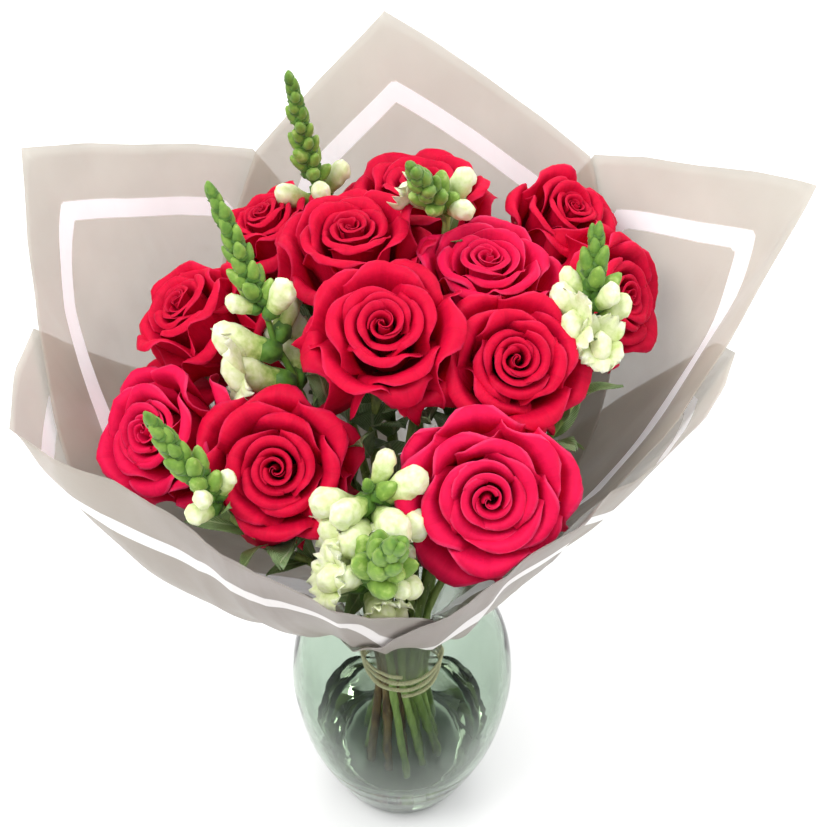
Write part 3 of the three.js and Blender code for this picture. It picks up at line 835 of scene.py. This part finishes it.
def addClosedFloret(bm, place, size, layer, openMouth):
    length, girth = 30 * mm * size, 16 * mm * size
    made = bmesh.ops.create_uvsphere(bm, u_segments=20, v_segments=16, radius=1.0)
    for vert in made["verts"]:
        share = (vert.co.z + 1) / 2
        phi = math.atan2(vert.co.y, vert.co.x)
        under = 0.5 - 0.5 * math.cos(phi)
        swell = between([0.05, 0.6, 0.66, 0.72, 0.88, 1.0, 0.98, 0.8, 0.3], share)
        mouth = (share - 0.7 - 0.05 * math.cos(phi)) / 0.04
        crease = 1 - 0.26 * math.exp(-mouth ** 2) * (0.4 + 0.6 * under)
        lobes = 1 + 0.13 * math.cos(5 * phi) * smoothStep(share, 0.7, 0.95)
        scale = ringScale(vert, 0.5 * girth * swell * crease * lobes)
        # greener at the foot and paler towards the mouth, with painted shade along the mouth's crease
        vert[layer] = 0.46 + 0.4 * smoothStep(share, 0.1, 0.8) - 0.3 * (1 - crease)
        spot = Vector((vert.co.x * scale, vert.co.y * scale * 0.86, share * length))
        spot.x += 0.2 * length * share ** 2 - (0.05 * length * under * smoothStep(share, 0.6, 0.8))
        vert.co = keepInside(place @ spot)
    heights = (-0.04 * length, 0.1 * length, 0.27 * length)
    addCalyx(bm, place, 0.2 * girth, 0.37 * girth, heights, 0.12, layer)
    if openMouth:
        for phi, reach in ((28, 13), (-28, 13), (125, 11), (180, 12), (-125, 11)):
            addLobe(bm, place, math.radians(phi), reach * mm * size, length, girth, layer, phi * 0.37 + size)


def addLobe(bm, place, phi, reach, length, girth, layer, seed):
    made = bmesh.ops.create_grid(bm, x_segments=10, y_segments=8, size=1.0, calc_uvs=True)
    out = Vector((math.cos(phi), math.sin(phi), 0))
    across = Vector((-math.sin(phi), math.cos(phi), 0))
    upper = math.cos(phi) > 0
    for vert in made["verts"]:
        u, v = vert.co.x, (vert.co.y + 1) / 2
        half = reach * (0.32 + 0.4 * math.sin(math.pi * min(0.15 + v * 0.72, 1)))
        ruffle = reach * v * v * (0.16 * math.sin(2.6 * math.pi * u + seed) + 0.3 * noise.noise(
            Vector((u * 2 + seed, v * 2, seed))))
        trim = 1 - 0.2 * abs(u) ** 2.5
        bend = 0.3 if upper else -0.5
        spot = out * (0.3 * girth + reach * 0.92 * v * trim) + across * u * half
        spot += Vector((0.12 * length, 0, length * 0.72 + reach * (0.5 * v + bend * v * v) + ruffle))
        vert[layer] = 0.72 + 0.2 * v - 0.14 * abs(u) * (1 - v)
        vert.co = keepInside(place @ spot)
    blade = list({face for vert in made["verts"] for face in vert.link_faces})
    known = set(bm.verts)
    bmesh.ops.solidify(bm, geom=blade, thickness=snapdragons["petalThickness"] * mm)
    for vert in bm.verts:
        if vert not in known:
            vert[layer] = 0.85


def makeSpike(number):
    low, tip, _ = cadPoles(f"snapdragon_{number}_spike", Vector((0, 0, 0.1)))
    axis = (tip - low).normalized()
    length = (tip - low).length
    greenFrom, plump, florets = spikes[number - 1]
    draw = random.Random(500 + number)
    bm = bmesh.new()
    bm.loops.layers.uv.new("UVMap")
    pale = bm.verts.layers.float.new("pale")
    sway = axis.orthogonal().normalized() * 1.2 * mm
    core = [low + axis * length * 0.97 * step / 24 + sway * math.sin(step * 0.7) for step in range(25)]
    addTube(bm, core, [snapdragons["coreRadius"] * mm * (1 - 0.6 * step / 24) for step in range(25)], 8)
    for vert in bm.verts:
        vert[pale] = 0.2
    count = int((1 - greenFrom) * length / (snapdragons["budStep"] * mm))
    for index in range(count):
        share = index / max(count - 1, 1)
        turn = math.radians(spiral * index) + draw.uniform(-0.2, 0.2)
        height = greenFrom + (0.985 - greenFrom) * share
        radial = facing(axis, turn).to_3x3() @ Vector((1, 0, 0))
        lean = math.radians(between(snapdragons["budLean"], share ** 0.8) + draw.uniform(-5, 5))
        size = draw.uniform(0.9, 1.1) * plump * snapdragons["budScale"] * mm
        place = frameOf(low + axis * length * height, axis * math.cos(lean) + radial * math.sin(lean), axis)
        tint = 0.34 - 0.16 * share + draw.uniform(-0.04, 0.04)
        addBud(bm, place, between(snapdragons["budLength"], share) * size,
               between(snapdragons["budGirth"], share) * size, tint, pale)
    for kind, share, azimuth, size in florets:
        way = Vector((math.cos(math.radians(azimuth)), math.sin(math.radians(azimuth)), 0))
        radial = (way - axis * way.dot(axis)).normalized()
        place = frameOf(low + axis * length * share + radial * mm, radial * 0.86 + axis * 0.5, axis)
        addClosedFloret(bm, place, size, pale, kind == "open")
    makePiece(f"snapdragonSpike{number}", bm, [snapdragonPetal],
              [f"snapdragon_{number}_spike"])
    return low


def makeLeafPiece(number):
    node = f"rose_leaf_{number}"
    bm = cadMesh(node)
    spots = [vert.co.copy() for vert in bm.verts]
    bm.free()
    pairs = ((a, b) for a in spots for b in spots if a.z < b.z)
    base, tip = max(pairs, key=lambda pair: (pair[1] - pair[0]).length)
    way = (tip - base).normalized()
    wide = max(spots, key=lambda p: ((p - base) - way * (p - base).dot(way)).length)
    across = (wide - base) - way * (wide - base).dot(way)
    outward = across.cross(way).normalized()
    if outward.dot(Vector((base.x, base.y, 0.3))) < 0:
        outward.negate()
    bm = bmesh.new()
    bm.loops.layers.uv.new("UVMap")
    addLeaf(bm, base, tip, outward, 2.1 * across.length, number, 0.12)
    piece = makePiece(f"roseLeaf{number}", bm, [roseLeaf], [node])
    bmNormals(piece)


def makeSnapdragonStem(number, low):
    node = f"snapdragon_{number}_stem"
    line = middleLine(node, low)
    draw = random.Random(900 + number)
    bm = bmesh.new()
    bm.loops.layers.uv.new("UVMap")
    addStem(bm, line, stems["snapdragonRadius"], 40 + number)
    known = len(bm.faces)
    for index in range(snapdragons["leaves"]):
        share = between(snapdragons["leafZone"], index / snapdragons["leaves"])
        base = along(line, share)
        ahead = (along(line, min(share + 0.02, 1)) - along(line, share - 0.02)).normalized()
        turn = math.radians(spiral * index + 60 * number)
        radial = facing(ahead, turn).to_3x3() @ Vector((1, 0, 0))
        length = draw.uniform(*snapdragons["leafLength"]) * mm
        tip = base + (radial * 0.55 + ahead * 0.8) * length
        width = draw.uniform(*snapdragons["leafWidth"]) * mm
        addLeaf(bm, base, tip, ahead * 0.6 - radial * 0.8, width, index)
    bm.faces.ensure_lookup_table()
    for face in bm.faces[known:]:
        face.material_index = 1
    barks = [snapdragonBark, snapdragonLeaf]
    piece = makePiece(f"snapdragonStem{number}", bm, barks, [node])
    bmNormals(piece)


for spikeNumber in range(1, 8):
    makeSnapdragonStem(spikeNumber, makeSpike(spikeNumber))
for leafNumber in range(1, 7):
    makeLeafPiece(leafNumber)
print("snapdragons and leaves made")


# Twine: three strands laid up together, wound round the film's neck

twine = {
    "turns": 3,
    "strands": 3,
    "strandRadius": 0.6,  # mm
    "layRadius": 0.62,  # from the twine's middle to each strand's
    "lay": 5.0,  # one turn of a strand round the others
    "pointSpacing": 0.9,
}


def twineMaterial():
    # waxed jute: pale gold fibres along each strand, some of them darker
    material, shader = newMaterial("juteTwine", {
        "Roughness": 0.8, "Specular IOR Level": 0.2, "Sheen Weight": 0.2})
    place = addNode(material, "TexCoord")
    fibre = addNode(material, "TexNoise", {"Scale": 1 / 0.0006, "Detail": 4.0},
                    {"Vector": place.outputs["Object"]})
    tint = addNode(material, "ValToRGB", {"stops": [
        (0.3, colour("#BBA680")), (0.55, colour("#F0DFBD")), (0.8, colour("#FBF3DF"))]},
                   {"Fac": fibre.outputs[0]})
    join(material, tint.outputs[0], shader, "Base Color")
    bump = addNode(material, "Bump", {"Strength": 0.8, "Distance": 0.0002}, {"Height": fibre.outputs[0]})
    join(material, bump.outputs[0], shader, "Normal")
    return material


def makeTwine():
    low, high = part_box("twine_tie")
    reach = high.x - mm
    length = 2 * math.pi * reach * twine["turns"]
    count = int(length / (twine["pointSpacing"] * mm))
    bm = bmesh.new()
    for strand in range(twine["strands"]):
        points = []
        for step in range(count + 1):
            share = step / count
            angle = 2 * math.pi * twine["turns"] * share - math.pi / 2
            out = Vector((math.cos(angle), math.sin(angle), 0))
            lay = 2 * math.pi * (share * length / (twine["lay"] * mm) + strand / twine["strands"])
            middle = out * reach + upright * (low.z + mm + (high.z - low.z - 2 * mm) * share)
            wander = noise.noise(middle * 90) * 0.4 * mm
            aside = (out * math.cos(lay) + upright * math.sin(lay)) * twine["layRadius"] * mm
            points.append(middle + aside + upright * wander)
        addTube(bm, points, [twine["strandRadius"] * mm] * len(points), 6)
    makePiece("juteTwineTie", bm, [twineMaterial()], ["twine_tie"])


makeTwine()
print("twine made")


# Film wrap: each lap is sampled from its CAD sheet, then smoothed and creased

film = {
    "columnStep": 1.0,  # degrees
    "rows": 52,
    "thickness": 0.18,  # mm
    "bandInset": 35,  # middle of the printed white line from the sheet's edge, mm
    "bandWidth": 10.5,
    "paintedInkGlow": 0.14,  # painted light: how much the white ink glows
    "pleats": 3.0,  # how deep the gathers above the tie are, mm
    "waves": 2.6,  # height of the broad waves, mm
    "creases": 1.5,  # depth of the sharp creases, mm
    "climb": (-88, 70, 2),  # the angles at which the film is first looked for: from, to, step
    "samples": 160,  # places read up each column
    "smoothings": 10,
}

# each lap's CAD node and the rectangle it was cut from, metres
laps = {
    "wrapBack": ("wrap_back", (0.40, 0.40)),
    "wrapLeft": ("wrap_left", (0.40, 0.40)),
    "wrapRight": ("wrap_right", (0.40, 0.40)),
    "wrapFrontLeft": ("wrap_front_left", (0.40, 0.36)),
    "wrapFrontRight": ("wrap_front_right", (0.40, 0.36)),
}


def filmMaterial():
    # frosted polypropylene film: thin, satin and half see-through, with a printed white line inside its
    # edge; painted shade on the front laps, painted glow on the line
    material, shader = newMaterial("frostedFilm", {
        "Roughness": 0.36, "Specular IOR Level": 0.45, "IOR": 1.49, "Emission Color": colour("#F4F4FA")})
    edge = addNode(material, "Attribute", {"attribute_name": "fromEdge"})
    away = addNode(material, "Math", {"operation": "SUBTRACT", 1: film["bandInset"] * mm},
                   {0: edge.outputs["Fac"]})
    near = addNode(material, "Math", {"operation": "ABSOLUTE"}, {0: away.outputs[0]})
    half = film["bandWidth"] * mm / 2
    soften = 0.4 * mm
    line = addNode(material, "MapRange",
                   {"From Min": half - soften, "From Max": half + soften, "To Min": 1.0, "To Max": 0.0},
                   {"Value": near.outputs[0]})
    place = addNode(material, "TexCoord")
    cloud = addNode(material, "TexNoise", {"Scale": 1 / 0.05, "Detail": 2.0},
                    {"Vector": place.outputs["Object"]})
    frost = addNode(material, "ValToRGB", {"stops": [(0.3, colour("#C1B9AA")), (0.7, colour("#CFC7B9"))]},
                    {"Fac": cloud.outputs[0]})
    height = addNode(material, "SeparateXYZ", {}, {0: place.outputs["Object"]})
    # painted shade: the front laps are darker and their line is duller
    front = addNode(material, "MapRange",
                    {"From Min": -0.1, "From Max": 0.0, "To Min": 0.85, "To Max": 0.0},
                    {"Value": height.outputs["Y"]})
    darkerTone = addNode(material, "Mix", {"data_type": "RGBA", 7: colour("#9C918C")},
                   {6: frost.outputs[0], 0: front.outputs[0]})
    ink = addNode(material, "Mix", {"data_type": "RGBA", 6: colour("#FFFFFF"), 7: colour("#D3CCC9")},
                  {0: front.outputs[0]})
    tint = addNode(material, "Mix", {"data_type": "RGBA"},
                   {6: darkerTone.outputs[2], 7: ink.outputs[2], 0: line.outputs[0]})
    # painted light: the white line glows a little, except on the front laps
    inside = addNode(material, "Math", {"operation": "SUBTRACT", "use_clamp": True},
                     {0: line.outputs[0], 1: front.outputs[0]})
    bright = addNode(material, "Math", {"operation": "MULTIPLY", 1: film["paintedInkGlow"]},
                     {0: inside.outputs[0]})
    join(material, bright.outputs[0], shader, "Emission Strength")
    join(material, tint.outputs[2], shader, "Base Color")
    cover = addNode(material, "MapRange", {"To Min": 0.6, "To Max": 0.97}, {"Value": line.outputs[0]})
    # wet and clear where it goes down into the vase
    wet = addNode(material, "MapRange",
                  {"From Min": 0.185, "From Max": 0.215, "To Min": 0.25, "To Max": 1.0},
                  {"Value": height.outputs["Z"]})
    share = addNode(material, "Math", {"operation": "MULTIPLY"}, {0: cover.outputs[0], 1: wet.outputs[0]})
    join(material, share.outputs[0], shader, "Alpha")
    grain = addNode(material, "TexNoise", {"Scale": 1 / 0.012, "Detail": 3.0, "Roughness": 0.6},
                    {"Vector": place.outputs["Object"]})
    sheet = addNode(material, "UVMap", {"uv_map": "UVMap"})
    upwards = addNode(material, "Mapping", {"Scale": (10, 1.5, 1)}, {"Vector": sheet.outputs[0]})
    folds = addNode(material, "TexNoise", {"Scale": 1.0, "Detail": 2.5, "Distortion": 0.8},
                    {"Vector": upwards.outputs[0]})
    soft = addNode(material, "Bump", {"Strength": 0.6, "Distance": 0.006}, {"Height": folds.outputs[0]})
    bump = addNode(material, "Bump", {"Strength": 0.25, "Distance": 0.001},
                   {"Height": grain.outputs[0], "Normal": soft.outputs[0]})
    join(material, bump.outputs[0], shader, "Normal")
    return material


frostedFilm = filmMaterial()


def look(tree, azimuth, climb):  # where the film is, seen from the middle of the bouquet
    level = math.cos(climb)
    way = Vector((math.cos(azimuth) * level, math.sin(azimuth) * level, math.sin(climb)))
    return tree.ray_cast(wrapEye, way)[0]


def limit(tree, azimuth, seen, missed):  # the film's end, between a climb that meets it and one that misses
    for _ in range(9):
        middle = (seen + missed) / 2
        if look(tree, azimuth, middle):
            seen = middle
        else:
            missed = middle
    return seen


def filmColumn(tree, azimuth):  # evenly spaced places up the film, or none
    turns = [math.radians(angle) for angle in range(*film["climb"])]
    hits = [turn for turn in turns if look(tree, azimuth, turn)]
    if len(hits) < 5:
        return None
    gap = math.radians(film["climb"][2])
    bottom = limit(tree, azimuth, hits[0], hits[0] - gap)
    top = limit(tree, azimuth, hits[-1], hits[-1] + gap)
    dense = []
    for step in range(film["samples"] + 1):
        spot = look(tree, azimuth, bottom + (top - bottom) * (step / film["samples"]) ** 1.6)
        if spot:
            dense.append(spot)
    lengths = [0.0]
    for a, b in zip(dense, dense[1:]):
        lengths.append(lengths[-1] + (b - a).length)
    column = []
    place = 0
    for row in range(film["rows"] + 1):
        wanted = lengths[-1] * row / film["rows"]
        while place < len(lengths) - 2 and lengths[place + 1] < wanted:
            place += 1
        share = (wanted - lengths[place]) / max(lengths[place + 1] - lengths[place], 1e-9)
        column.append(dense[place].lerp(dense[place + 1], min(max(share, 0), 1)))
    return column


def makeLapPiece(name, node):
    cad = cadMesh(node)
    tree = BVHTree.FromBMesh(cad)
    middle = sum((vert.co.xy.normalized() for vert in cad.verts if vert.co.xy.length > 0.06), Vector((0, 0)))
    centre = math.atan2(middle.y, middle.x)
    turns = [math.remainder(math.atan2(vert.co.y, vert.co.x) - centre, 2 * math.pi) for vert in cad.verts]
    cad.free()
    first, last = centre + min(turns), centre + max(turns)
    count = round(math.degrees(last - first) / film["columnStep"])
    inset = math.radians(0.15)
    columns = []
    for index in range(count + 1):
        azimuth = min(max(first + (last - first) * index / count, first + inset), last - inset)
        column = filmColumn(tree, azimuth)
        if column:
            columns.append(column)
    bm = bmesh.new()
    bm.loops.layers.uv.new("UVMap")
    fromEdge = bm.verts.layers.float.new("fromEdge")
    across, up = len(columns) - 1, film["rows"]
    made = bmesh.ops.create_grid(bm, x_segments=across, y_segments=up, size=1.0, calc_uvs=True)
    rims, inner = [], []
    for vert in made["verts"]:
        column, row = round((vert.co.x + 1) / 2 * across), round((vert.co.y + 1) / 2 * up)
        if row == up:
            rims.append(vert)
        if 0 < row < up and 0 < column < across:
            inner.append(vert)
        vert.co = columns[column][row]
    for _ in range(film["smoothings"]):
        bmesh.ops.smooth_vert(bm, verts=inner, factor=0.5, use_axis_x=True, use_axis_y=True, use_axis_z=True)
    near = KDTree(len(rims))
    for index, vert in enumerate(rims):
        near.insert(vert.co, index)
    near.balance()
    for vert in bm.verts:
        vert[fromEdge] = near.find(vert.co)[2]
    crease(bm)
    flatArea = sum(face.calc_area() for face in bm.faces)
    piece = makePiece(name, bm, [frostedFilm], [node])
    thicken(piece, film["thickness"] * mm, 0.0)
    print(name, "flat area", round(flatArea, 4))


def crease(bm):  # gathers, waves and sharp creases, alike in every lap so that none cross
    bm.normal_update()
    moves = []
    for vert in bm.verts:
        spot = vert.co
        reach = spot.xy.length
        azimuth = math.atan2(spot.y, spot.x)
        fan = Vector((math.cos(azimuth) * 4.2, math.sin(azimuth) * 4.2, spot.z * 3))
        gather = 1 - 2.4 * abs(noise.noise(fan))
        depth = film["pleats"] * smoothStep(reach, 0.024, 0.075) * (1 - 0.75 * smoothStep(reach, 0.08, 0.17))
        wave = noise.noise(spot * 13) * film["waves"] * smoothStep(reach, 0.03, 0.12)
        sharp = (1 - 3 * abs(noise.noise(spot * 9 + Vector((7, 3, 1))))) * film["creases"]
        sharp *= smoothStep(reach, 0.05, 0.12)
        moves.append(vert.normal * (depth * gather + wave + sharp) * mm)
    for vert, move in zip(bm.verts, moves):
        vert.co += move


for lapName, (lapNode, lapCut) in laps.items():
    makeLapPiece(lapName, lapNode)
print("film wrap made")
